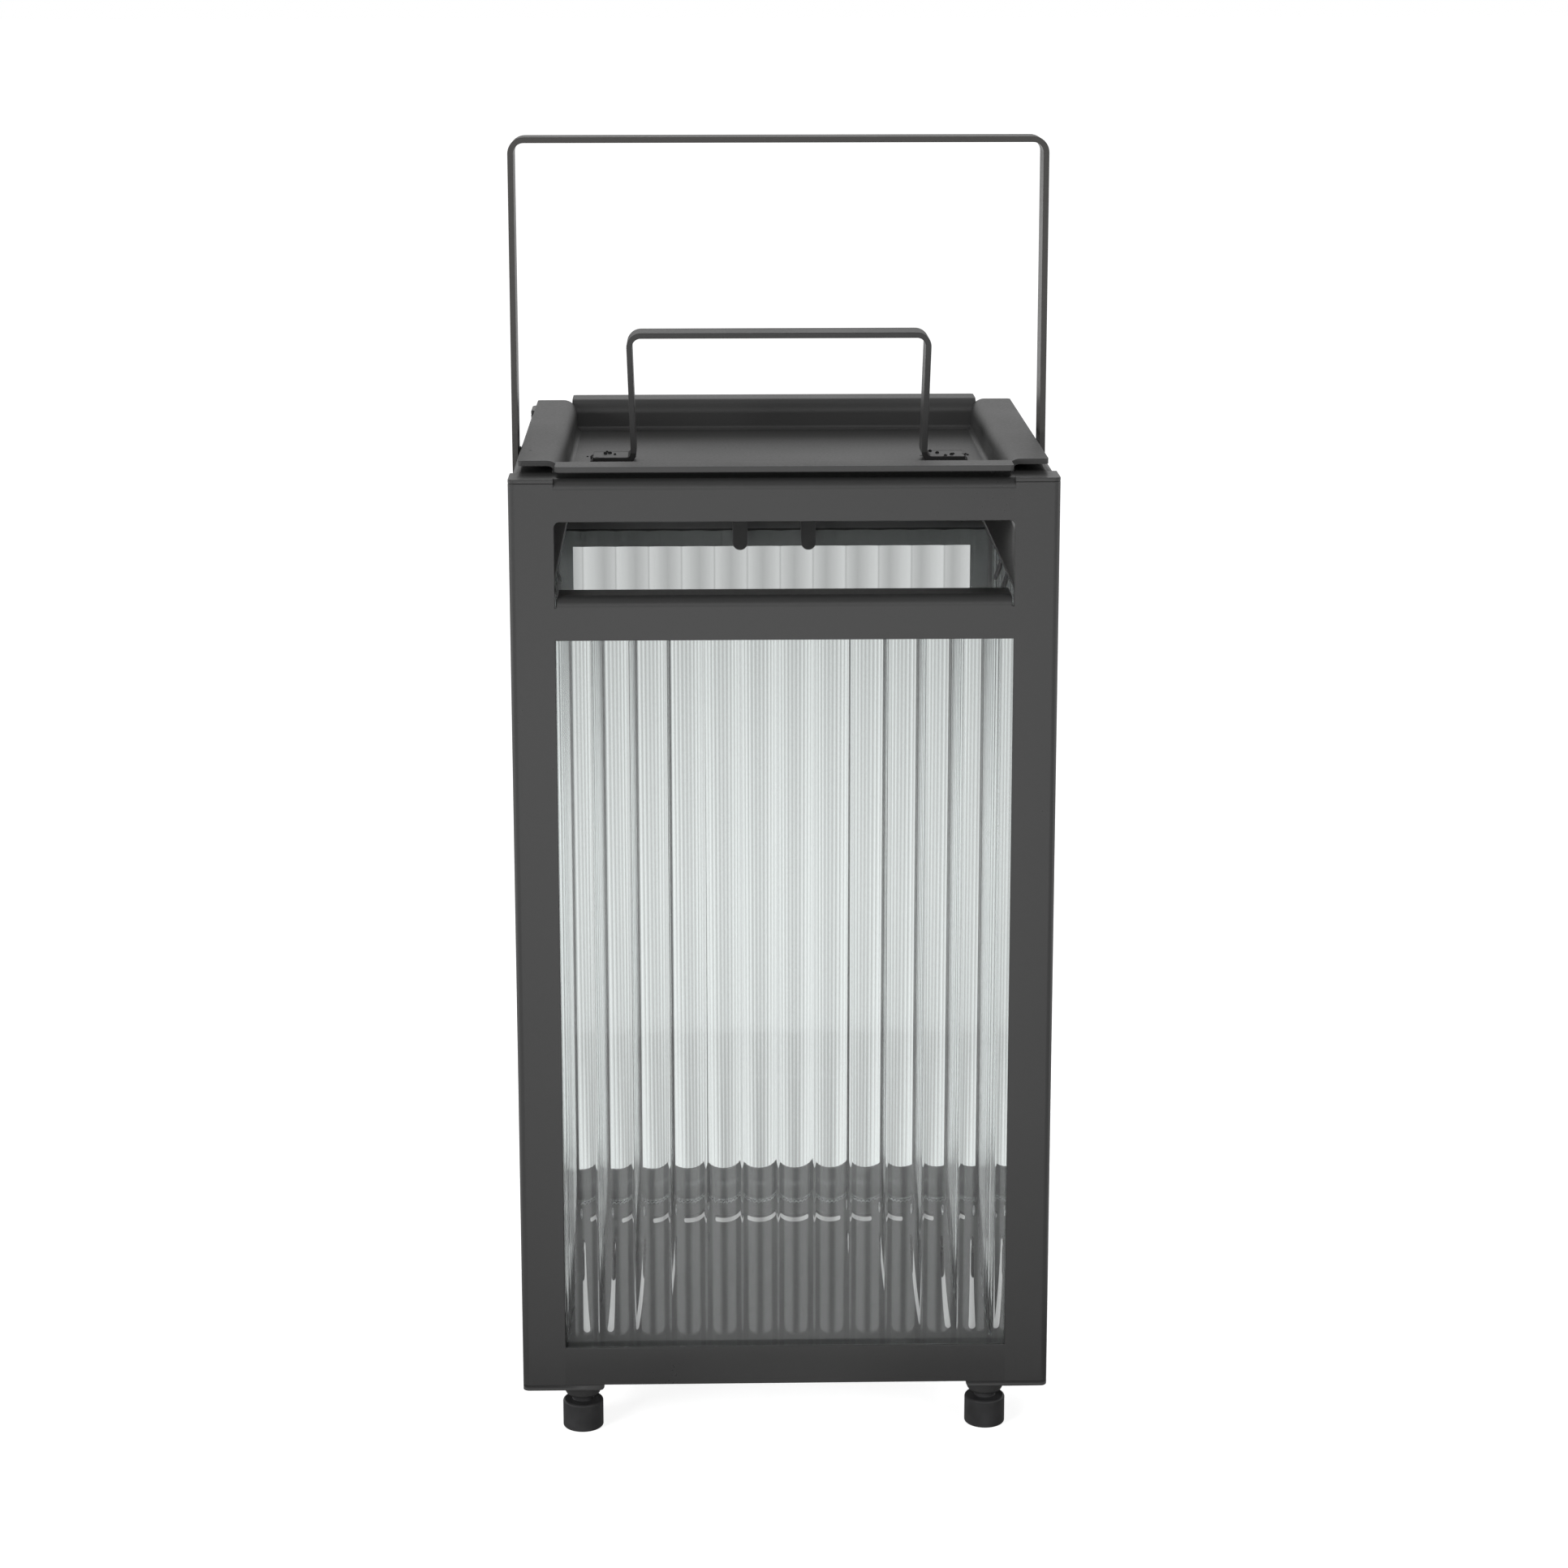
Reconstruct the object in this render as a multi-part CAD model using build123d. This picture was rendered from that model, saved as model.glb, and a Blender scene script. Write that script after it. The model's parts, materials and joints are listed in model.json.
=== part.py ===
from build123d import *
import math
import os

# Square candle lantern: welded sheet frame, four fluted panes, lift-off tray lid, strap bail.
# Millimetres, +Z up, origin on the table under the middle of the lantern, front towards -Y.

# Frame
plan_width = 200.0          # outer width and depth of the frame
sheet = 1.5                 # frame sheet thickness
post_leg = 16.5             # leg of the corner angle, each way
corner_bend = 2.5           # outside bend radius of posts, caps and corner plates
bottom_rail_face = 15.0     # heights, stacked from the corner plates up
window_height = 274.5
mid_rail_face = 16.2
slot_height = 27.5
top_rail_face = 15.6
rail_flange = 15.0          # inward flange of the top and middle rails, from the outer face
rail_bend = 4.0             # outside bend radius of the top and middle rails
bend_relief = 0.7           # gap between a middle rail's bend and the post beside it
weld_fillet = 2.0           # weld in the upper corners of each air slot

# Base and feet
base_height = 23.7          # underside of the corner plates above the table
corner_plate_sheet = 2.2
corner_plate_margin = 1.2   # corner plate beyond the foot's side
corner_plate_round = 1.6    # lower edge of its two inner sides
base_sheet = 1.2
base_gap = 0.3              # base plate to the rails round it
base_corner_radius = 3.0
vent_length = 100.0
vent_width = 8.0
vent_inset = 27.2           # middle of a base vent from the frame's outer face
foot_inset = 22.0           # foot's axis from the two outer faces
foot_diameter = 15.6
foot_height = 11.2          # straight side of the foot
foot_edge_radius = 0.8
foot_rim_radius = 1.0
foot_stem_diameter = 8.0
boss_diameter = 14.0        # threaded boss under each corner plate
boss_gap = 1.8              # foot's rim to the boss, where only the foot's stem shows
boss_edge_radius = 2.5
screw_diameter = 4.0
screw_play = 0.2            # hole in the base plate beyond the screw, radial
screw_bite = 8.0            # thread inside the foot
screw_head_diameter = 7.6
screw_head_height = 2.2
screw_head_round = 1.0
screw_socket = 2.5          # across the flats
screw_socket_depth = 1.2

# Glass
pane_thickness = 6.0        # over the ridges
pane_gap = 2.0              # pane to the frame in front of it
pane_side_gap = 0.9         # pane's edge to the ridges of its neighbour
glass_overlap = 7.6         # pane above the lower edge of the middle rail
flute_pitch = 13.7
flute_radius = 14.0
flute_land = 0.4            # blunt ridge between two flutes
flute_shift = 2.5           # nearest ridge beside the pane's middle line
clip_width = 6.2
clip_sheet = 1.2
clip_spacing = 28.4
clip_foot = 5.4             # part welded under the rail's flange
clip_root_gap = 5.4         # clip's bend behind the rail's bend
clip_bend = 1.0             # middle radius of the clip's bend
clip_flare = 4.5            # clip's tip behind the ridges of the glass
clip_rise = 0.3             # clip's tip above the lower edge of the middle rail

# Lid
lid_sheet = 2.0
lid_setback = 1.25          # front and rear flange edge behind the frame's outer face
lid_side_setback = 3.0      # left and right flange edge behind the frame's outer face
lid_flange_bend = 3.5       # inside bend radius under the flange
lid_floor_bend = 2.0        # inside bend radius above the floor
lid_corner_radius = 1.5
tray_gap = 0.5              # tray wall to the frame's opening
recess_depth = 12.5         # flange top to recess floor
pad_height = 2.4            # soft pads that hold the flange off the frame
pad_diameter = 8.0
pad_spacing = 120.0
handle_sheet = 2.15
handle_width = 17.0
handle_rise = 50.3          # top of the handle above the recess floor
handle_corner = 5.5         # outside bend radius at the top
handle_foot = 14.8          # foot beyond the leg's outer side
handle_foot_bend = 3.0      # middle radius
handle_end_room = 9.0       # foot's end to the tray wall
handle_lean = 1.6           # each leg's top further out than its foot

# Bail
bail_sheet = 2.2
bail_width = 15.0
bail_rise = 116.6           # top of the bail above the frame
bail_corner = 6.2           # outside bend radius
bail_gap = 0.8              # leg to the side of the frame
pivot_diameter = 5.0
pivot_play = 0.05           # running clearance, radial and on the washer's face
pivot_margin = 0.5          # rivet head below the top rail's bend
sink_land = 0.4             # straight part of the countersunk hole
rivet_head_diameter = 8.0
rivet_head_height = 1.8
washer_diameter = 12.0

# Levels and half widths that follow
half = plan_width / 2
window_half = half - post_leg
foot_top = foot_height + boss_gap
plate_top = base_height + corner_plate_sheet
base_top = plate_top + base_sheet
window_bottom = plate_top + bottom_rail_face
window_top = window_bottom + window_height
mid_top = window_top + mid_rail_face
slot_top = mid_top + slot_height
frame_top = slot_top + top_rail_face
glass_outer = half - sheet - pane_gap
glass_inner = glass_outer - pane_thickness
lid_half = half - lid_setback
lid_side_half = half - lid_side_setback
flange_top = frame_top + pad_height + lid_sheet
recess_floor = flange_top - recess_depth
tray_half = half - max(post_leg, rail_flange) - tray_gap
pivot_z = frame_top - rail_bend - rivet_head_diameter / 2 - pivot_margin
leg_inner = half + bail_gap
leg_outer = leg_inner + bail_sheet
sink_depth = bail_sheet - sink_land

LOW = (Align.MIN, Align.MIN)
STAND = (Align.CENTER, Align.CENTER, Align.MIN)
SIDES = {"front": 0, "right": 90, "rear": 180, "left": 270}
CORNERS = {"front_left": 0, "front_right": 90, "rear_right": 180, "rear_left": 270}


def turned(shape, angle):
    """A front or front-left piece, turned to another side."""
    return Rot(0, 0, angle) * shape


def angle_section(across, up, bend):
    """Bent angle with its outer corner at the origin and its legs along +X and +Y."""
    outer = Rectangle(across, up, align=LOW)
    outer = fillet(outer.vertices().sort_by_distance((0, 0, 0))[:1], bend)
    inner = Pos(sheet, sheet) * Rectangle(across, up, align=LOW)
    inner = fillet(inner.vertices().sort_by_distance((0, 0, 0))[:1], bend - sheet)
    return outer - inner


def strap(points, radii, width, thickness, across):
    """Flat strip bent along a flat path; points follow the middle of its thickness."""
    path = FilletPolyline(*points, radius=radii)
    start = Plane(origin=path @ 0, x_dir=across, z_dir=path % 0)
    return sweep(start * Rectangle(width, thickness), path=path)


def front_left_post():
    section = Pos(-half, -half) * angle_section(post_leg, post_leg, corner_bend)
    return extrude(Pos(0, 0, plate_top) * section, frame_top - sheet - plate_top)


def front_left_cap():
    """Square plate that closes the top of a post."""
    plate = Pos(-half, -half) * Rectangle(post_leg, post_leg, align=LOW)
    plate = fillet(plate.vertices().sort_by_distance((-half, -half, 0))[:1], corner_bend)
    return extrude(Pos(0, 0, frame_top - sheet) * plate, sheet)


def angle_rail(top, face):
    """Front rail with an inward flange along its top."""
    plane = Plane(origin=(window_half, -half, top), x_dir=(0, 1, 0), z_dir=(-1, 0, 0))
    return extrude(plane * angle_section(rail_flange, face, rail_bend), 2 * window_half)


def front_mid_rail():
    """Its bend and flange stop short of the posts."""
    rail = angle_rail(mid_top, mid_rail_face)
    for side in (-1, 1):
        place = Pos(side * window_half, -half, mid_top)
        rail -= place * Box(2 * bend_relief, 3 * rail_flange, 2 * rail_bend)
    return rail


def front_top_rail():
    rail = angle_rail(frame_top, top_rail_face)
    for side in (-1, 1):
        corner = Pos(side * window_half, -half + sheet / 2, slot_top)
        inset = Pos(-side * weld_fillet / 2, 0, -weld_fillet / 2)
        weld = corner * inset * Box(weld_fillet, sheet, weld_fillet)
        hollow = Pos(-side * weld_fillet, 0, -weld_fillet) * Rot(90, 0, 0)
        rail += weld - corner * hollow * Cylinder(weld_fillet, 2 * sheet)
    return rail


def side_top_rail():
    """Top rail with the bail's pivot hole, still on the front side."""
    place = Pos(0, -half, pivot_z) * Rot(90, 0, 0)
    return front_top_rail() - place * Cylinder(pivot_diameter / 2 + pivot_play, 4 * sheet)


def front_bottom_rail():
    place = Pos(0, -half + sheet / 2, plate_top)
    return place * Box(2 * window_half, sheet, bottom_rail_face, align=STAND)


def front_left_corner_plate():
    width = foot_inset + foot_diameter / 2 + corner_plate_margin
    plate = Pos(-half, -half) * Rectangle(width, width, align=LOW)
    plate = fillet(plate.vertices().sort_by_distance((-half, -half, 0))[:1], corner_bend)
    solid = extrude(Pos(0, 0, base_height) * plate, corner_plate_sheet)
    low_edges = solid.faces().sort_by(Axis.Z)[0].edges()
    solid = fillet([low_edges.sort_by(axis)[-1] for axis in (Axis.X, Axis.Y)], corner_plate_round)
    boss = Cylinder(boss_diameter / 2, base_height - foot_top, align=STAND)
    boss = fillet(boss.edges().filter_by(GeomType.CIRCLE).sort_by(Axis.Z)[:1], boss_edge_radius)
    solid += Pos(foot_inset - half, foot_inset - half, foot_top) * boss
    return solid - front_left_screw_hole(screw_diameter)


def front_left_screw_hole(diameter):
    place = Pos(foot_inset - half, foot_inset - half, base_height)
    return place * Cylinder(diameter / 2, 2 * base_height)


def base_plate():
    inner_half = half - sheet - base_gap
    plate = Pos(0, 0, plate_top) * RectangleRounded(2 * inner_half, 2 * inner_half, base_corner_radius)
    solid = extrude(plate, base_sheet)
    vent = Pos(0, vent_inset - half, plate_top) * SlotOverall(vent_length, vent_width)
    for angle in SIDES.values():
        solid -= turned(extrude(vent, 2 * base_sheet, both=True), angle)
        solid -= turned(front_left_screw_hole(screw_diameter + 2 * screw_play), angle)
    return solid


def front_left_foot():
    pad = Cylinder(foot_diameter / 2, foot_height, align=STAND)
    pad = fillet(pad.edges().filter_by(GeomType.CIRCLE).sort_by(Axis.Z)[:1], foot_edge_radius)
    pad = fillet(pad.edges().filter_by(GeomType.CIRCLE).sort_by(Axis.Z)[-1:], foot_rim_radius)
    stem = Cylinder(foot_stem_diameter / 2, foot_top, align=STAND)
    hole = Pos(0, 0, foot_top) * Cylinder(screw_diameter / 2, 2 * screw_bite)
    return Pos(foot_inset - half, foot_inset - half, 0) * (pad + stem - hole)


def front_left_screw():
    head = Cylinder(screw_head_diameter / 2, screw_head_height, align=STAND)
    head = fillet(head.edges().filter_by(GeomType.CIRCLE).sort_by(Axis.Z)[-1:], screw_head_round)
    socket = RegularPolygon(screw_socket / 2, 6, major_radius=False)
    head -= extrude(Pos(0, 0, screw_head_height) * socket, -screw_socket_depth)
    length = base_top - foot_top + screw_bite
    shank = Pos(0, 0, -length) * Cylinder(screw_diameter / 2, length, align=STAND)
    return Pos(foot_inset - half, foot_inset - half, base_top) * (head + shank)


def front_pane():
    """Cast pane: flat outside, upright hollow flutes inside."""
    pane_half = glass_inner - pane_side_gap
    height = window_top + glass_overlap - base_top
    place = Pos(0, -(glass_outer + glass_inner) / 2, base_top)
    pane = place * Box(2 * pane_half, pane_thickness, height, align=STAND)
    chord = (flute_pitch - flute_land) / 2
    axis_y = math.sqrt(flute_radius**2 - chord**2) - glass_inner
    count = math.ceil((pane_half + flute_shift) / flute_pitch)
    for k in range(-count, count):
        flute = Cylinder(flute_radius, 2 * height)
        middle = (k + 0.5) * flute_pitch - flute_shift
        pane -= Pos(middle, axis_y, base_top + height / 2) * flute
    return pane


def front_glass_clips():
    """Two bent strips under the middle rail's flange that keep the pane from tipping inwards."""
    foot_z = mid_top - sheet - clip_sheet / 2
    root = -half + rail_bend + clip_root_gap
    tip = (0, clip_flare - glass_inner, window_top + clip_rise)
    points = [(0, root + clip_foot, foot_z), (0, root, foot_z), tip]
    clip = strap(points, clip_bend, clip_width, clip_sheet, (1, 0, 0))
    corners = clip.faces().sort_by(Axis.Z)[0].edges().sort_by(SortBy.LENGTH)[:2]
    clip = fillet(corners, 0.49 * clip_width)
    return [Pos(side * clip_spacing / 2, 0, 0) * clip for side in (-1, 1)]


def lid_side(reach):
    """Quarter of the tray, on the front: floor, wall and a flange as far out as reach."""
    wall = tray_half - lid_sheet / 2
    floor = recess_floor - lid_sheet / 2
    flange = flange_top - lid_sheet / 2
    points = [(0, 0, floor), (0, -wall, floor), (0, -wall, flange), (0, -reach, flange)]
    radii = [bend + lid_sheet / 2 for bend in (lid_floor_bend, lid_flange_bend)]
    side = strap(points, radii, 2 * tray_half, lid_sheet, (1, 0, 0))
    wedge = Polyline((0, 0), (half, -half), (-half, -half), close=True)
    return side & extrude(make_face(wedge), frame_top + flange_top)


def lid_tray():
    """Recessed tray with an outward flange on each side and open corners between the flanges."""
    reaches = {0: lid_half, 90: lid_side_half, 180: lid_half, 270: lid_side_half}
    tray = Part() + [turned(lid_side(reach), angle) for angle, reach in reaches.items()]
    upright = tray.edges().filter_by(Axis.Z)
    beyond = tray_half + lid_flange_bend
    tips = upright.filter_by(lambda e: max(abs(e.center().X), abs(e.center().Y)) > beyond)
    return fillet(tips, lid_corner_radius)


def lid_handle():
    leg = tray_half - lid_sheet - handle_end_room - handle_foot - handle_sheet / 2
    low = recess_floor + handle_sheet / 2
    high = recess_floor + handle_rise - handle_sheet / 2
    foot_end = leg + handle_sheet / 2 + handle_foot
    points = [(-foot_end, 0, low), (-leg, 0, low), (-leg - handle_lean, 0, high)]
    points += [(-x, 0, z) for x, _, z in reversed(points)]
    top_bend = handle_corner - handle_sheet / 2
    radii = [handle_foot_bend, top_bend, top_bend, handle_foot_bend]
    return strap(points, radii, handle_width, handle_sheet, (0, 1, 0))


def lid_pads():
    """Soft round pads under the left and right flanges."""
    middle = half - (rail_flange + lid_side_setback) / 2
    pad = Cylinder(pad_diameter / 2, pad_height, align=STAND)
    spots = [(x, y) for x in (-middle, middle) for y in (-pad_spacing / 2, pad_spacing / 2)]
    return [Pos(x, y, frame_top) * pad for x, y in spots]


def bail_handle():
    leg = (leg_inner + leg_outer) / 2
    high = frame_top + bail_rise - bail_sheet / 2
    points = [(-leg, 0, pivot_z), (-leg, 0, high), (leg, 0, high), (leg, 0, pivot_z)]
    bail = strap(points, bail_corner - bail_sheet / 2, bail_width, bail_sheet, (0, 1, 0))
    for side in (-1, 1):
        axis = Pos(0, 0, pivot_z) * Rot(0, side * 90, 0)
        bail += axis * Pos(0, 0, leg) * Cylinder(bail_width / 2, bail_sheet)
        bail -= axis * pivot_core(pivot_play, leg_outer + pivot_play)
    return bail


def pivot_core(play, end):
    """Shank and countersunk head along +Z, as far from the axis of the lantern as they lie."""
    shank_radius = pivot_diameter / 2 + play
    start = half - sheet
    shank = Pos(0, 0, start) * Cylinder(shank_radius, end - start, align=STAND)
    grown = end - leg_outer + sink_depth
    cone = Cone(shank_radius, shank_radius + grown, grown, align=STAND)
    return shank + Pos(0, 0, leg_outer - sink_depth) * cone


def pivot_rivet():
    head = Cylinder(rivet_head_diameter / 2, rivet_head_height, align=STAND)
    head = fillet(head.edges().filter_by(GeomType.CIRCLE).sort_by(Axis.Z)[:1], rivet_head_height / 2)
    return Pos(0, 0, half - sheet - rivet_head_height) * head + pivot_core(0, leg_outer)


def pivot_washer():
    height = bail_gap - pivot_play
    ring = Cylinder(washer_diameter / 2, height, align=STAND)
    ring -= Cylinder(pivot_diameter / 2 + pivot_play, 4 * height)
    return Pos(0, 0, half) * ring


def all_nodes():
    nodes = {}
    for name, angle in CORNERS.items():
        nodes[name + "_post"] = turned(front_left_post(), angle)
        nodes[name + "_cap"] = turned(front_left_cap(), angle)
        nodes[name + "_corner_plate"] = turned(front_left_corner_plate(), angle)
        nodes[name + "_foot"] = turned(front_left_foot(), angle)
    nodes["foot_screws"] = Compound([turned(front_left_screw(), angle) for angle in CORNERS.values()])
    for name, angle in SIDES.items():
        has_pivot = name in ("left", "right")
        nodes[name + "_top_rail"] = turned(side_top_rail() if has_pivot else front_top_rail(), angle)
        nodes[name + "_mid_rail"] = turned(front_mid_rail(), angle)
        nodes[name + "_bottom_rail"] = turned(front_bottom_rail(), angle)
        nodes[name + "_pane"] = turned(front_pane(), angle)
        nodes[name + "_glass_clips"] = Compound([turned(clip, angle) for clip in front_glass_clips()])
    nodes["base_plate"] = base_plate()
    nodes["lid_tray"] = lid_tray()
    nodes["lid_handle"] = lid_handle()
    nodes["lid_pads"] = Compound(lid_pads())
    nodes["bail_handle"] = bail_handle()
    for name, side in (("left", -1), ("right", 1)):
        axis = Pos(0, 0, pivot_z) * Rot(0, side * 90, 0)
        nodes[name + "_pivot_rivet"] = axis * pivot_rivet()
        nodes[name + "_pivot_washer"] = axis * pivot_washer()
    return nodes


os.makedirs("parts", exist_ok=True)
for node, shape in all_nodes().items():
    export_step(shape, "parts/" + node + ".step")
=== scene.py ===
import json
import math
import random
from collections import namedtuple

import bmesh
import bpy
from mathutils import Matrix, Vector


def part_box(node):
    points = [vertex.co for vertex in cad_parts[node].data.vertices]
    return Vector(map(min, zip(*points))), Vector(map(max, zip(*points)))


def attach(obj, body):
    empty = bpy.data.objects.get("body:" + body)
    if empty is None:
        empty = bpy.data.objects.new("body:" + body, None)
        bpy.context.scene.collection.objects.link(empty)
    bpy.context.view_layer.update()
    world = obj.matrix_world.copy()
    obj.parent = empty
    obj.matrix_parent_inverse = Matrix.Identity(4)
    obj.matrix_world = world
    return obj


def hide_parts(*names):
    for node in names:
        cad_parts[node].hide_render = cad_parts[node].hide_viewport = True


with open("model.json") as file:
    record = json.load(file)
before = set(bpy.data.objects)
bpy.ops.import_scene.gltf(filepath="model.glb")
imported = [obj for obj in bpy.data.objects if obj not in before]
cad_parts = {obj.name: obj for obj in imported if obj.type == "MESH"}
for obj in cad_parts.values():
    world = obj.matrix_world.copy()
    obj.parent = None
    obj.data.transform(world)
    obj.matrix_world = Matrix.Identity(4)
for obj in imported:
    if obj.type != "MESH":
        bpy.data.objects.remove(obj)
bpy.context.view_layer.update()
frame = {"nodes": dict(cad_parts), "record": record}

MM = 0.001
X, Y, Z = range(3)
PICTURE = 1932

# A ramp turns a measure into a number: first up to start, last from end on, and evenly between them
Ramp = namedtuple("Ramp", "start end first last")
# A weld is a plane across an axis, in which a piece is welded flush to its neighbours
Weld = namedtuple("Weld", "axis place outward")
Lamp = namedtuple("Lamp", "name at aim width height power")

# Camera, as the photograph was taken, with lens and sensor in millimetres and angles in degrees
CAMERA_AT = (-29.4 * MM, -1354.0 * MM, 571.4 * MM)
CAMERA_LENS = 80.683
CAMERA_SENSOR = 36
CAMERA_PITCH = 12.296
CAMERA_YAW = 1.328
CAMERA_ROLL = 0.045
CAMERA_SHIFT_Y = -120 / PICTURE

# Lamps: soft boxes above and on both sides, in metres and watts
LAMPS = (
    Lamp("top_box", at=(0, 0.2, 1.7), aim=(0, 0, 0.3), width=1.4, height=1.4, power=13),
    Lamp("left_box", at=(-1.2, -1.2, 0.55), aim=(0, 0, 0.4), width=0.8, height=0.6, power=25),
    Lamp("right_box", at=(1.2, -1.2, 0.55), aim=(0, 0, 0.4), width=0.8, height=0.6, power=8),
)

# Fill light from all round
WORLD_FILL = 0.22

# Floor: its size, the grey that bounces light, the grey that takes shadows, and the white the camera sees.
# Brightness 1 is white, here and below. Ramps go by metres from the lantern's middle, unless said otherwise.
FLOOR_SIZE = 40
FLOOR_MIDDLE = (0, 0, 0)
FLOOR_BOUNCE = 0.6
FLOOR_SHADOW = 0.5
FLOOR_WHITE = Ramp(0.35, 1.6, 0.86, 1.0)

# Floor as paint and glass mirror it: grey beneath the lantern, a dark ring, then white that dims between the
# sides. The last ramp goes by swing, which is 0 straight out from a side and 1 midway between two sides.
MIRRORED_BENEATH = Ramp(0.172, 0.182, 0.45, 0.0)
MIRRORED_AROUND = Ramp(0.188, 0.198, 0.0, 1.0)
MIRRORED_FLOOR = Ramp(0.2, 1.0, 0.62, 1.0)
MIRRORED_SIDES = Ramp(0.25, 0.75, 1.0, 0.5)

# Studio above the floor as paint and glass mirror it, by how steeply a ray rises: dark near the horizon and
# overhead
MIRRORED_HORIZON = Ramp(0.10, 0.20, 0.1, 1.0)
MIRRORED_SKY = Ramp(0.3, 0.7, 0.98, 0.12)

# Paper seen through glass, by swing: through one pane, and through more. Paper beside is for rays that a pane
# mirrored back into the lantern. Paper is dimmer far away and, through one pane, near the lantern.
PAPER_SWING = (0.0, 0.62)
PAPER_THROUGH_ONE = Ramp(*PAPER_SWING, 0.55, 0.84)
PAPER_THROUGH_MORE = Ramp(*PAPER_SWING, 0.45, 1.0)
PAPER_BESIDE = 0.95
# Near: the lantern's painted shadow on the floor beneath it, as seen through one pane
PAPER_NEAR_SHADOW = Ramp(0.16, 0.21, 0.52, 1.0)
PAPER_FAR = Ramp(0.6, 1.6, 1.0, 0.90)

# Glints, which are rays mirrored on their way through glass. Steep ones see the studio by swing, flatter ones
# an even level, by rise, and both fade far away. Short ones, by ray length, end on the floor by the glass.
GLINT_SIDES = Ramp(0.25, 0.8, 0.0, 1.0)
GLINT_LEVEL = 0.7
GLINT_FLATTER = Ramp(-0.345, -0.31, 0.0, 1.0)
GLINT_FADE = (1.0, 0.1)
GLINT_FADE_BY_RISE = Ramp(-0.27, -0.205, *GLINT_FADE)
GLINT_FADE_BY_PLACE = Ramp(0.9, 1.5, *GLINT_FADE)
GLINT_PASSES = Ramp(0.103, 0.113, 0.0, 1.0)
FACES_OF_PANE = 2

# Colours of the finishes
FRAME_COLOUR = (0.031, 0.031, 0.031)
LID_COLOUR = (0.034, 0.034, 0.034)
BAIL_COLOUR = (0.038, 0.036, 0.034)
FOOT_COLOUR = (0.028, 0.028, 0.029)
BLACK = (0.02, 0.02, 0.02)
ZINC_COLOUR = (0.56, 0.56, 0.57)
GLASS_COLOUR = (0.95, 0.977, 0.972, 1)
GROUND_COLOUR = (0.14, 0.15, 0.148)

# Range in which most noise lies
NOISE_MIDDLE = (0.3, 0.7)

# Powder coat: height of its grain beside its orange peel, and what a mark, painted shadow included, does to
# shade, roughness and height
GRAIN_HEIGHT = 0.35
MARK_SHADE = Ramp(0.0, 1.0, 1.0, 0.15)
MARK_ROUGHER = 0.4
MARK_DEEPER = 6.0

# Marks round the welds of the lid's handle, and a painted shadow along its feet, measured from its ends and
# edges and from the lid's floor
WELD_INWARD = 7.5 * MM
WELD_REACH = (9 * MM, 12 * MM)
WELD_HEIGHT = 3.9 * MM
PIT_CELLS = 170
PIT_EDGE = Ramp(0.10, 0.22, 1.0, 0.0)
PIT_RARITY = 0.62
# Seams along the feet's edges: partly burnt weld paint, partly painted shadow of the gap under each foot
SEAM_SHADOW_OUTWARD = 0.1 * MM
SEAM_SHADOW_EDGE = Ramp(0.8 * MM, 1.8 * MM, 0.8, 0.0)
BURR_ABOVE = 0.15 * MM
BURR_DARK = 0.8
HANDLE_SHEET = 2.15 * MM

# Nick in the lid's left flange, from the flange's outer edge
NICK_INWARD = 3.5 * MM
NICK_ALONG = -57.4 * MM
NICK_EDGE = Ramp(0.4 * MM, 0.7 * MM, 1.0, 0.0)

# Weld beads of the lid's handle, with ranges from which each one is drawn
WELD_SEED = 7
BEAD_FLATNESS = 0.9
BEAD_COUNT = 9
BEAD_RADIUS = (1.0 * MM, 1.4 * MM)
BEAD_OUTWARD = (-0.2 * MM, 0.3 * MM)
SEAM_COUNT = 9
SEAM_LENGTH = 14.0 * MM
SEAM_RADIUS = (0.7 * MM, 1.2 * MM)
SPATTER_FLATNESS = 0.85
SPATTER_COUNT = 7
SPATTER_RADIUS = (0.4 * MM, 0.8 * MM)
SPATTER_INWARD = (-4 * MM, 16 * MM)
SPATTER_OFF = (0.5 * MM, 4 * MM)
BURR_COUNT = 5
BURR_RADIUS = (0.5 * MM, 0.9 * MM)
BURR_INWARD = (1 * MM, 13 * MM)
BURR_FROM_EDGES = (2 * MM, 1 * MM)

# Flutes of the glass, as they were cast
FLUTE_PITCH = 13.7 * MM
FLUTE_RADIUS = 14.0 * MM
FLUTE_LAND = 0.4 * MM
FLUTE_SHIFT = 2.5 * MM
FLUTE_STEPS = 28
FLUTE_SHARP = math.radians(32)

# Glass: its gloss, the height of its cast lines beside its waves, and its ground lower edge
GLASS_IOR = 1.52
GLASS_SHINE = (2.0, 2.0, 2.0, 1)
GLASS_LINES = 0.08
GROUND_EDGE = 0.8 * MM
GROUND_SPECKS = Ramp(0.42, 0.62, 0.1, 1.6)

# Rounding of cut edges
EDGE_ROUND = 0.3 * MM
EDGE_STEPS = 3
EDGE_SHARP = math.radians(40)
FLAT_WITHIN = math.radians(1)
SAME_POINT = 0.002 * MM
IN_PLANE = 0.01 * MM
FLATS_WEIGHT = 90

# Sides in the order of quarter turns, and what the record says of each node
SIDES = ("front", "right", "rear", "left")
BODIES = frame["record"]["behaviour"]["bodies"]
BODY_OF = {node: body for body, nodes in BODIES.items() for node in nodes}
SLOT_OF = {part["node"]: part["material_slot"] for part in frame["record"]["subparts"]}


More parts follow.
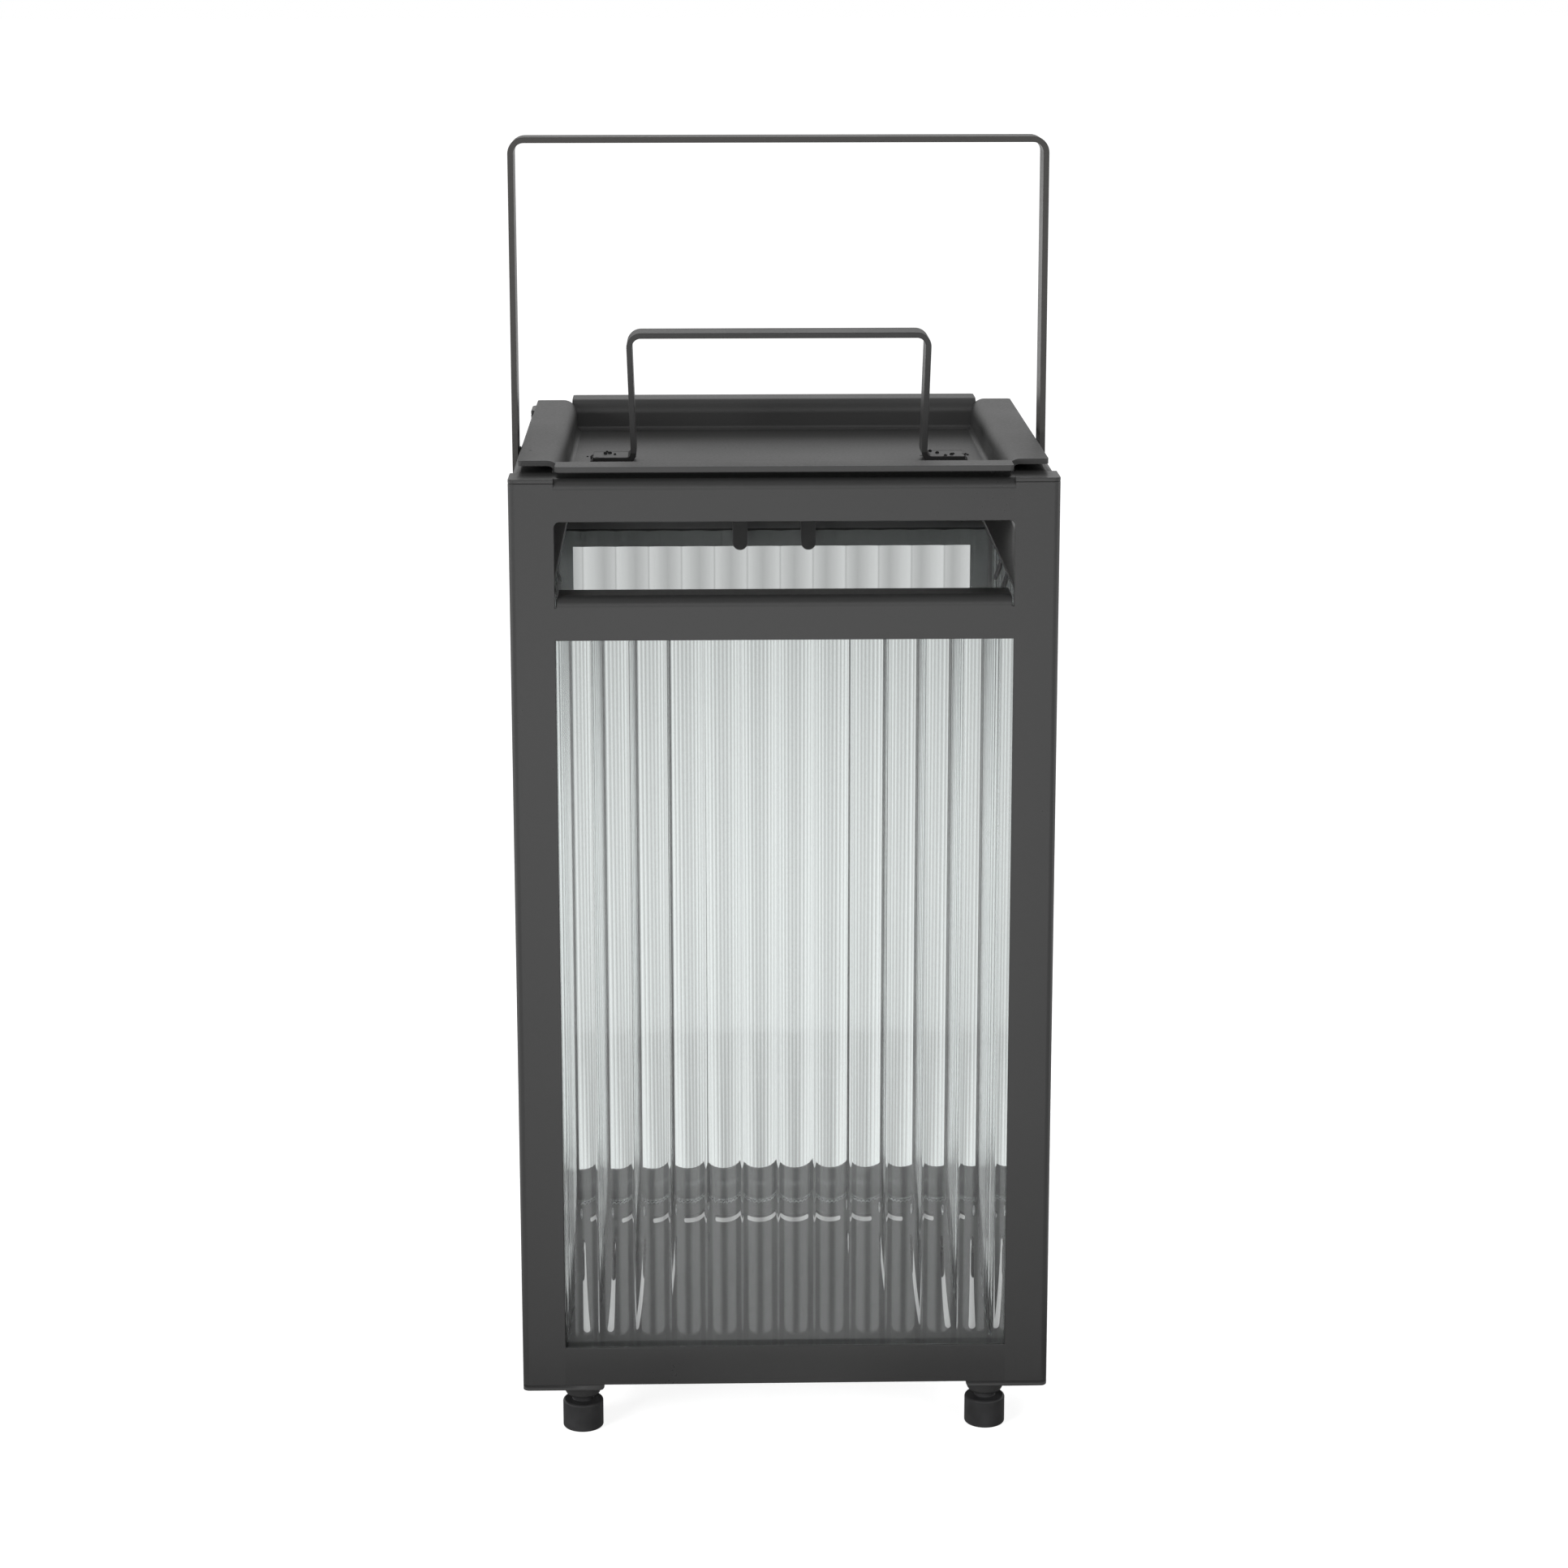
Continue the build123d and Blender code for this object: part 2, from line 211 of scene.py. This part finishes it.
class Tree:
    """Short ways to add nodes to a material or to the world."""

    def __init__(self, tree):
        self.tree = tree

    def add(self, kind, **values):
        node = self.tree.nodes.new(kind)
        for name, value in values.items():
            setattr(node, name, value)
        return node

    def feed(self, socket, value):
        """Links a socket to another node's output, or sets it to a number or colour."""
        if isinstance(value, bpy.types.NodeSocket):
            self.tree.links.new(value, socket)
        else:
            socket.default_value = value

    def math(self, operation, first, second=0.0):
        node = self.add("ShaderNodeMath", operation=operation)
        for socket, value in zip(node.inputs, (first, second)):
            self.feed(socket, value)
        return node.outputs["Value"]

    def distance(self, place, other):
        node = self.add("ShaderNodeVectorMath", operation="DISTANCE")
        for socket, value in zip(node.inputs, (place, other)):
            self.feed(socket, value)
        return node.outputs["Value"]

    def ramp(self, value, ramp):
        node = self.add("ShaderNodeMapRange")
        for name, number in zip(("From Min", "From Max", "To Min", "To Max"), ramp):
            self.feed(node.inputs[name], number)
        self.feed(node.inputs["Value"], value)
        return node.outputs["Result"]

    def axes(self, place):
        """The parts of a place or direction along X, Y and Z."""
        node = self.add("ShaderNodeSeparateXYZ")
        self.feed(node.inputs["Vector"], place)
        return node.outputs

    def choose(self, share, first, second):
        """The first number where share is 0, the second where it is 1."""
        node = self.add("ShaderNodeMix")
        for name, value in (("Factor", share), ("A", first), ("B", second)):
            self.feed(node.inputs[name], value)
        return node.outputs["Result"]


class Finish(Tree):
    """Nodes of one finish of the lantern, round its main shader."""

    def __init__(self, name):
        self.material = bpy.data.materials.new(name)
        self.material.use_nodes = True
        super().__init__(self.material.node_tree)
        self.shader = self.tree.nodes["Principled BSDF"]
        self.place = self.add("ShaderNodeTexCoord").outputs["Object"]

    def put(self, name, value):
        self.feed(self.shader.inputs[name], value)

    def noise(self, scale, detail, stretch=(1, 1, 1)):
        """Noise with so many lumps per metre, made longer along an axis by a stretch below 1."""
        mapping = self.add("ShaderNodeMapping")
        self.feed(mapping.inputs["Scale"], stretch)
        self.feed(mapping.inputs["Vector"], self.place)
        node = self.add("ShaderNodeTexNoise")
        self.feed(node.inputs["Scale"], scale)
        self.feed(node.inputs["Detail"], detail)
        self.feed(node.inputs["Vector"], mapping.outputs["Vector"])
        return node.outputs["Fac"]

    def spread(self, noise, low, high):
        """Noise, most of which lies in its middle range, spread from low to high."""
        return self.ramp(noise, Ramp(*NOISE_MIDDLE, low, high))

    def vary(self, noise, by, about=0.0):
        """A number that noise makes a little smaller and larger."""
        return self.spread(noise, about - by, about + by)

    def tint(self, colour, amount):
        """A colour made lighter and darker by a value near 1."""
        node = self.add("ShaderNodeVectorMath", operation="SCALE")
        self.feed(node.inputs[0], colour)
        self.feed(node.inputs["Scale"], amount)
        return node.outputs["Vector"]

    def bump(self, height, distance, strength):
        node = self.add("ShaderNodeBump")
        self.feed(node.inputs["Distance"], distance)
        self.feed(node.inputs["Strength"], strength)
        self.feed(node.inputs["Height"], height)
        self.put("Normal", node.outputs["Normal"])

    def off(self, part, middle):
        """How far a place is from a middle that lies on both sides of the lantern, along one axis."""
        return self.math("ABSOLUTE", self.math("SUBTRACT", self.math("ABSOLUTE", part), middle))


def powder_coat(name, colour, roughness, shine, marks=None):
    """Satin powder coat: orange peel, a little mottling, slightly uneven gloss, and marks with any painted
    shade in them, if it has some.
    """
    n = Finish(name)
    peel = n.noise(scale=900, detail=3)
    grain = n.noise(scale=3200, detail=2)
    cloud = n.noise(scale=16, detail=3)
    shade = n.math("ADD", n.vary(cloud, by=0.06, about=1.0), n.vary(grain, by=0.07))
    gloss = n.math("ADD", n.vary(cloud, by=0.03, about=roughness), n.vary(peel, by=0.03))
    height = n.math("ADD", peel, n.math("MULTIPLY", grain, GRAIN_HEIGHT))
    if marks:
        # A mark darkens the coat: pits and burrs are burnt paint, seams are partly painted shadow
        mark_and_shade = marks(n)
        shade = n.math("MULTIPLY", shade, n.ramp(mark_and_shade, MARK_SHADE))
        gloss = n.math("ADD", gloss, n.math("MULTIPLY", mark_and_shade, MARK_ROUGHER))
        height = n.math("SUBTRACT", height, n.math("MULTIPLY", mark_and_shade, MARK_DEEPER))
    n.put("Base Color", n.tint(colour, shade))
    n.put("Roughness", gloss)
    n.put("Specular IOR Level", shine)
    n.bump(height, distance=0.05 * MM, strength=0.35)
    return n.material


def weld_marks_and_shade(n):
    """Pits, burrs and seams round the welds of the lid's handle, seams partly painted shadow: up to 1 there,
    0 elsewhere.
    """
    low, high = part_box("lid_handle")
    at = n.axes(n.place)
    area = n.math("LESS_THAN", at["Z"], low.z + WELD_HEIGHT)
    for axis, middle, reach in zip("XY", (high.x - WELD_INWARD, 0.0), WELD_REACH):
        area = n.math("MULTIPLY", area, n.math("LESS_THAN", n.off(at[axis], middle), reach))
    cells = n.add("ShaderNodeTexVoronoi")
    n.feed(cells.inputs["Scale"], PIT_CELLS)
    n.feed(cells.inputs["Vector"], n.place)
    kept = n.math("GREATER_THAN", cells.outputs["Color"], PIT_RARITY)
    pit = n.math("MULTIPLY", n.ramp(cells.outputs["Distance"], PIT_EDGE), kept)
    # Darker along the feet's edges: partly burnt weld paint, partly painted shadow of the gap under each foot
    seam_and_shadow = n.ramp(n.off(at["Y"], high.y + SEAM_SHADOW_OUTWARD), SEAM_SHADOW_EDGE)
    on_top = n.math("GREATER_THAN", at["Z"], low.z + HANDLE_SHEET + BURR_ABOVE)
    burr = n.math("MULTIPLY", on_top, BURR_DARK)
    return n.math("MULTIPLY", n.math("MAXIMUM", pit, n.math("MAXIMUM", seam_and_shadow, burr)), area)


def lid_marks_and_shade(n):
    """Marks of the welds, with the painted shadow along the handle's feet, and one nick in the left flange.
    """
    low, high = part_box("lid_tray")
    from_nick = n.distance(n.place, (low.x + NICK_INWARD, NICK_ALONG, high.z))
    return n.math("MAXIMUM", weld_marks_and_shade(n), n.ramp(from_nick, NICK_EDGE))


def cast_glass(name):
    """Clear pressed glass: faint grey-green tint, very faint upright lines and waviness."""
    n = Finish(name)
    n.put("Base Color", GLASS_COLOUR)
    n.put("Transmission Weight", 1.0)
    n.put("IOR", GLASS_IOR)
    n.put("Roughness", 0.0)
    n.put("Specular Tint", GLASS_SHINE)
    lines = n.noise(scale=400, detail=1, stretch=(1, 1, 0.004))
    wave = n.noise(scale=45, detail=1, stretch=(1, 1, 0.35))
    height = n.math("ADD", n.math("MULTIPLY", lines, GLASS_LINES), wave)
    n.bump(height, distance=0.02 * MM, strength=0.5)
    return n.material


def ground_glass(name):
    """Edge of a pane as it was ground: whitish, matt and speckled."""
    n = Finish(name)
    speck = n.noise(scale=700, detail=2, stretch=(1, 1, 0.5))
    n.put("Base Color", n.tint(GROUND_COLOUR, n.ramp(speck, GROUND_SPECKS)))
    n.put("Roughness", n.spread(speck, low=0.45, high=0.7))
    n.bump(speck, distance=0.05 * MM, strength=0.5)
    return n.material


def black_rubber(name, colour, roughness):
    """Moulded rubber or plastic: fine grain, with gloss and shade a little uneven."""
    n = Finish(name)
    grain = n.noise(scale=2400, detail=3)
    cloud = n.noise(scale=120, detail=2)
    n.put("Base Color", n.tint(colour, n.spread(cloud, low=0.8, high=1.25)))
    n.put("Roughness", n.spread(cloud, low=roughness - 0.05, high=roughness + 0.08))
    n.bump(grain, distance=0.03 * MM, strength=0.3)
    return n.material


def zinc(name):
    """Zinc plate: cloudy bare metal with fine turning marks across its height."""
    n = Finish(name)
    grain = n.noise(scale=1500, detail=2, stretch=(1, 1, 4))
    cloud = n.noise(scale=220, detail=2)
    n.put("Base Color", n.tint(ZINC_COLOUR, n.spread(cloud, low=0.85, high=1.1)))
    n.put("Roughness", n.spread(cloud, low=0.3, high=0.45))
    n.put("Metallic", 1.0)
    n.bump(grain, distance=0.02 * MM, strength=0.3)
    return n.material


MATERIALS = {
    "frame_paint": powder_coat("frame_paint", FRAME_COLOUR, roughness=0.32, shine=0.75),
    "lid_paint": powder_coat("lid_paint", LID_COLOUR, roughness=0.42, shine=0.8, marks=lid_marks_and_shade),
    "bail_paint": powder_coat("bail_paint", BAIL_COLOUR, roughness=0.38, shine=0.8),
    "fluted_glass": cast_glass("fluted_glass"),
    "foot_rubber": black_rubber("foot_rubber", FOOT_COLOUR, roughness=0.34),
    "pad_rubber": black_rubber("pad_rubber", BLACK, roughness=0.7),
    "zinc_steel": zinc("zinc_steel"),
    "washer_plastic": black_rubber("washer_plastic", BLACK, roughness=0.5),
}
GROUND_GLASS = ground_glass("ground_glass")


def finished(name, bm, node):
    """A new piece from a bmesh, in the place of a CAD node, with that node's finish."""
    mesh = bpy.data.meshes.new(name)
    bm.to_mesh(mesh)
    bm.free()
    for face in mesh.polygons:
        face.use_smooth = True
    piece = bpy.data.objects.new(name, mesh)
    bpy.context.scene.collection.objects.link(piece)
    mesh.materials.append(MATERIALS[SLOT_OF[node]])
    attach(piece, BODY_OF[node])
    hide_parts(node)
    return piece


def flute_line(low, high):
    """Inner face of the front pane from above, from left to right: hollows with narrow lands between."""
    chord = (FLUTE_PITCH - FLUTE_LAND) / 2
    hidden = math.sqrt(FLUTE_RADIUS**2 - chord**2)
    count = math.ceil((high.x + FLUTE_SHIFT) / FLUTE_PITCH)
    points = []
    for k in range(-count, count):
        middle = (k + 0.5) * FLUTE_PITCH - FLUTE_SHIFT
        points.append((middle - FLUTE_PITCH / 2, high.y))
        for step in range(FLUTE_STEPS + 1):
            off = chord * (2 * step / FLUTE_STEPS - 1)
            depth = math.sqrt(FLUTE_RADIUS**2 - off**2) - hidden
            points.append((middle + off, high.y - depth))
    return [point for point in points if low.x < point[0] < high.x]


def fluted_pane(node, turns):
    """Pane of a side: flat outside, hollow upright flutes inside, and its lower edge ground."""
    low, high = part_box("front_pane")
    inner = flute_line(low, high)
    ends = [(low.x, inner[0][1]), (high.x, inner[-1][1])]
    outline = [(high.x, low.y), (low.x, low.y), ends[0], *inner, ends[1]]
    bm = bmesh.new()
    levels = (low.z, low.z + GROUND_EDGE, high.z)
    bottom, ground, top = [[bm.verts.new((x, y, z)) for x, y in outline] for z in levels]
    bm.faces.new(bottom).material_index = 1
    bm.faces.new(reversed(top))
    for i in range(len(outline)):
        j = (i + 1) % len(outline)
        bm.faces.new((bottom[j], bottom[i], ground[i], ground[j])).material_index = 1
        bm.faces.new((ground[j], ground[i], top[i], top[j])).material_index = 0
    bm.transform(Matrix.Rotation(turns * math.pi / 2, 4, "Z"))
    bmesh.ops.recalc_face_normals(bm, faces=bm.faces)
    piece = finished(node + "_glass", bm, node)
    piece.data.materials.append(GROUND_GLASS)
    piece.visible_shadow = False
    piece.data.set_sharp_from_angle(angle=FLUTE_SHARP)


def weld_beads(bm):
    """Weld beads along the edges of the handle's feet, spatters beside them and burrs on top."""
    low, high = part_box("lid_handle")
    dice = random.Random(WELD_SEED)

    def drop(x, y, radius, flatness=1.0, rise=0.0):
        size = Matrix.Diagonal((radius, radius, radius * flatness, 1))
        place = Matrix.Translation((x, y, low.z + rise)) @ size
        bmesh.ops.create_icosphere(bm, subdivisions=2, radius=1.0, matrix=place)

    for side in (-1, 1):
        for step in range(BEAD_COUNT):
            along = low.y + (high.y - low.y) * (step + 0.5) / BEAD_COUNT
            x = side * (high.x + dice.uniform(*BEAD_OUTWARD))
            drop(x, along, dice.uniform(*BEAD_RADIUS), BEAD_FLATNESS)
        for step in range(SEAM_COUNT):
            x = side * (high.x - SEAM_LENGTH * (step + 0.5) / SEAM_COUNT)
            for edge in (low.y, high.y):
                drop(x, edge, dice.uniform(*SEAM_RADIUS), BEAD_FLATNESS)
        for _ in range(SPATTER_COUNT):
            x = side * (high.x - dice.uniform(*SPATTER_INWARD))
            in_front = low.y - dice.uniform(*SPATTER_OFF)
            behind = high.y + dice.uniform(*SPATTER_OFF)
            y = dice.choice((in_front, behind))
            drop(x, y, dice.uniform(*SPATTER_RADIUS), SPATTER_FLATNESS)
        for _ in range(BURR_COUNT):
            x = side * (high.x - dice.uniform(*BURR_INWARD))
            y = dice.uniform(low.y + BURR_FROM_EDGES[0], high.y - BURR_FROM_EDGES[1])
            drop(x, y, dice.uniform(*BURR_RADIUS), rise=HANDLE_SHEET)


def welds_of(node):
    """Welds of a piece. A rail's ends run outward into the posts, and the other welds stay in place."""
    low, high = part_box(node)
    if node.endswith("_rail"):
        along = X if high.x - low.x > high.y - low.y else Y
        ends = [Weld(along, low[along], outward=-1), Weld(along, high[along], outward=1)]
        return ends + [Weld(Z, low.z, outward=0)] if node.endswith("_bottom_rail") else ends
    if node.endswith("_post"):
        return [Weld(Z, low.z, outward=0)]
    if node.endswith("_corner_plate"):
        return [Weld(Z, high.z, outward=0)]
    return []


def mark_edges(bm, welds):
    """Marks cut edges for rounding, but for welded ones, and runs a rail's ends into the posts' rounding."""
    weight = bm.edges.layers.float.new("bevel_weight_edge")

    def lies_in(vert, weld):
        return abs(vert.co[weld.axis] - weld.place) < IN_PLANE

    for edge in bm.edges:
        welded = any(all(lies_in(vert, weld) for vert in edge.verts) for weld in welds)
        if edge.is_manifold and edge.calc_face_angle() > EDGE_SHARP and not welded:
            edge[weight] = 1.0
    for weld in welds:
        for vert in [vert for vert in bm.verts if lies_in(vert, weld)]:
            vert.co[weld.axis] += weld.outward * EDGE_ROUND


def dressed(node, extra=None):
    """Copy of a CAD node with its cut edges softly rounded, as a coat of powder leaves them."""
    bm = bmesh.new()
    source = frame["nodes"][node]
    bm.from_mesh(source.data)
    bm.transform(source.matrix_world)
    bmesh.ops.remove_doubles(bm, verts=bm.verts, dist=SAME_POINT)
    bmesh.ops.dissolve_limit(bm, angle_limit=FLAT_WITHIN, verts=bm.verts, edges=bm.edges)
    mark_edges(bm, welds_of(node))
    if extra:
        extra(bm)
    piece = finished(node + "_coat", bm, node)
    bevel = piece.modifiers.new("edge", "BEVEL")
    bevel.width = EDGE_ROUND
    bevel.segments = EDGE_STEPS
    bevel.limit_method = "WEIGHT"
    shading = piece.modifiers.new("flats", "WEIGHTED_NORMAL")
    shading.weight = FLATS_WEIGHT


def dress_lantern():
    """Panes are made anew, coated pieces and feet are dressed, and the other nodes get their finish."""
    for turns, side in enumerate(SIDES):
        fluted_pane(side + "_pane", turns)
    for name, node in frame["nodes"].items():
        if name.endswith("_pane"):
            continue
        if SLOT_OF[name].endswith("_paint") or name.endswith("_foot"):
            dressed(name, weld_beads if name == "lid_handle" else None)
            continue
        node.data.materials.clear()
        node.data.materials.append(MATERIALS[SLOT_OF[name]])


class Studio(Tree):
    """Nodes of the floor or the world, which show each kind of ray its own brightness."""

    def ray(self, *facts):
        """A fact about the ray that meets the surface, or the largest of several facts."""
        path = self.add("ShaderNodeLightPath")
        largest = path.outputs[facts[0]]
        for fact in facts[1:]:
            largest = self.math("MAXIMUM", largest, path.outputs[fact])
        return largest

    def glints(self):
        """1 for rays that were mirrored on their way through glass, and 0 for the others."""
        mirrored = self.math("MINIMUM", self.ray("Glossy Depth"), 1.0)
        return self.math("MULTIPLY", mirrored, self.ray("Is Transmission Ray"))

    def through_panes(self, count):
        """1 for rays that went in and out of so many panes at most, and 0 for the others."""
        return self.math("LESS_THAN", self.ray("Transmission Depth"), FACES_OF_PANE * count + 1)

    def returns(self):
        """1 for glints that went through one pane at most, and 0 for the other rays."""
        return self.math("MULTIPLY", self.glints(), self.through_panes(1))

    def wanders(self):
        """1 for glints through over two panes, which one mirrored back inside, and 0 for the other rays."""
        return self.math("GREATER_THAN", self.glints(), self.through_panes(2))

    def swing(self, place):
        """0 straight out from each side of the lantern, 1 midway between two sides."""
        parts = self.axes(place)
        turn = self.math("ARCTAN2", parts["X"], parts["Y"])
        return self.math("ABSOLUTE", self.math("SINE", self.math("MULTIPLY", turn, 2.0)))

    def behind_glass(self, place, fade):
        """Paper as it shows through glass: greyer straight behind each side, paler between."""
        aside = self.swing(place)
        through_more = self.ramp(aside, PAPER_THROUGH_MORE)
        through_one = self.ramp(aside, PAPER_THROUGH_ONE)
        paper = self.choose(self.through_panes(1), through_more, through_one)
        paper = self.choose(self.wanders(), paper, PAPER_BESIDE)
        return self.math("MULTIPLY", paper, fade)

    def diffuse(self, grey):
        node = self.add("ShaderNodeBsdfDiffuse")
        self.feed(node.inputs["Color"], (grey, grey, grey, 1))
        return node.outputs["BSDF"]

    def join(self, kind, *inputs):
        """A node that joins shaders, fed in the order of its sockets."""
        node = self.add(kind)
        for socket, value in zip(node.inputs, inputs):
            self.feed(socket, value)
        return node.outputs["Shader"]


def mirrored_floor(s, place, away):
    """Brightness of the floor for mirrored rays."""
    ring = s.math("MAXIMUM", s.ramp(away, MIRRORED_AROUND), s.ramp(away, MIRRORED_BENEATH))
    sides = s.ramp(s.swing(place), MIRRORED_SIDES)
    return s.math("MULTIPLY", s.math("MULTIPLY", sides, s.ramp(away, MIRRORED_FLOOR)), ring)


def floor_through_glass(s, place, away):
    """Brightness of the floor for rays through glass."""
    # Painted shadow of the lantern on the floor beneath it, for rays through one pane
    near = s.choose(s.through_panes(1), 1.0, s.ramp(away, PAPER_NEAR_SHADOW))
    fade = s.math("MULTIPLY", s.ramp(away, PAPER_FAR), near)
    fading = s.math("MULTIPLY", s.glints(), s.through_panes(2))
    fade = s.math("MULTIPLY", fade, s.choose(fading, 1.0, s.ramp(away, GLINT_FADE_BY_PLACE)))
    return s.choose(s.returns(), s.behind_glass(place, fade), 0.0)


def make_floor():
    """Pale floor that keeps the lantern's shadow and lets returning glints pass."""
    bpy.ops.mesh.primitive_plane_add(size=FLOOR_SIZE, location=FLOOR_MIDDLE)
    floor = bpy.context.object
    floor.name = "floor"
    material = bpy.data.materials.new("floor")
    material.use_nodes = True
    material.node_tree.nodes.clear()
    s = Studio(material.node_tree)
    place = s.add("ShaderNodeTexCoord").outputs["Object"]
    away = s.distance(place, FLOOR_MIDDLE)
    glow = s.choose(s.ray("Is Glossy Ray"), s.ramp(away, FLOOR_WHITE), mirrored_floor(s, place, away))
    glow = s.choose(s.ray("Is Transmission Ray"), glow, floor_through_glass(s, place, away))
    light = s.add("ShaderNodeEmission")
    s.feed(light.inputs["Strength"], glow)
    white = light.outputs["Emission"]
    shaded = s.join("ShaderNodeAddShader", white, s.diffuse(FLOOR_SHADOW))
    shown = s.join("ShaderNodeMixShader", s.ray("Is Camera Ray"), white, shaded)
    sees = s.ray("Is Camera Ray", "Is Glossy Ray", "Is Transmission Ray")
    surface = s.join("ShaderNodeMixShader", sees, s.diffuse(FLOOR_BOUNCE), shown)
    passes = s.math("MULTIPLY", s.returns(), s.ramp(s.ray("Ray Length"), GLINT_PASSES))
    clear = s.add("ShaderNodeBsdfTransparent").outputs["BSDF"]
    output = s.add("ShaderNodeOutputMaterial")
    s.feed(output.inputs["Surface"], s.join("ShaderNodeMixShader", passes, surface, clear))
    floor.data.materials.append(material)


def make_world():
    """Studio round the lantern: white to the camera, soft fill light, and its own look in paint and glass."""
    world = bpy.data.worlds.new("studio")
    bpy.context.scene.world = world
    world.use_nodes = True
    s = Studio(world.node_tree)
    place = s.add("ShaderNodeTexCoord").outputs["Generated"]
    rise = s.axes(place)["Z"]
    sky = s.math("MULTIPLY", s.ramp(rise, MIRRORED_SKY), s.ramp(rise, MIRRORED_HORIZON))
    steep = s.ramp(s.swing(place), GLINT_SIDES)
    glint = s.choose(s.ramp(rise, GLINT_FLATTER), steep, GLINT_LEVEL)
    glint = s.math("MULTIPLY", glint, s.ramp(rise, GLINT_FADE_BY_RISE))
    through_glass = s.choose(s.glints(), s.behind_glass(place, PAPER_FAR.last), glint)
    strength = s.choose(s.ray("Is Camera Ray"), WORLD_FILL, 1.0)
    strength = s.choose(s.ray("Is Glossy Ray"), strength, sky)
    strength = s.choose(s.ray("Is Transmission Ray"), strength, through_glass)
    background = s.tree.nodes["Background"]
    s.feed(background.inputs["Color"], (1, 1, 1, 1))
    s.feed(background.inputs["Strength"], strength)


def make_lamp(lamp):
    data = bpy.data.lights.new(lamp.name, "AREA")
    data.shape = "RECTANGLE"
    data.size = lamp.width
    data.size_y = lamp.height
    data.energy = lamp.power
    box = bpy.data.objects.new(lamp.name, data)
    bpy.context.scene.collection.objects.link(box)
    box.location = lamp.at
    box.rotation_euler = (Vector(lamp.aim) - Vector(lamp.at)).to_track_quat("-Z", "Y").to_euler()
    box.visible_glossy = False


def make_camera():
    data = bpy.data.cameras.new("camera")
    data.lens = CAMERA_LENS
    data.sensor_width = CAMERA_SENSOR
    data.shift_y = CAMERA_SHIFT_Y
    camera = bpy.data.objects.new("camera", data)
    bpy.context.scene.collection.objects.link(camera)
    turn = Matrix.Rotation(math.radians(-CAMERA_YAW), 4, "Z")
    tilt = Matrix.Rotation(math.radians(90 - CAMERA_PITCH), 4, "X")
    roll = Matrix.Rotation(math.radians(-CAMERA_ROLL), 4, "Z")
    camera.matrix_world = Matrix.Translation(CAMERA_AT) @ turn @ tilt @ roll
    bpy.context.scene.camera = camera


dress_lantern()
make_floor()
make_world()
for lamp in LAMPS:
    make_lamp(lamp)
make_camera()

scene = bpy.context.scene
scene.view_settings.view_transform = "Standard"
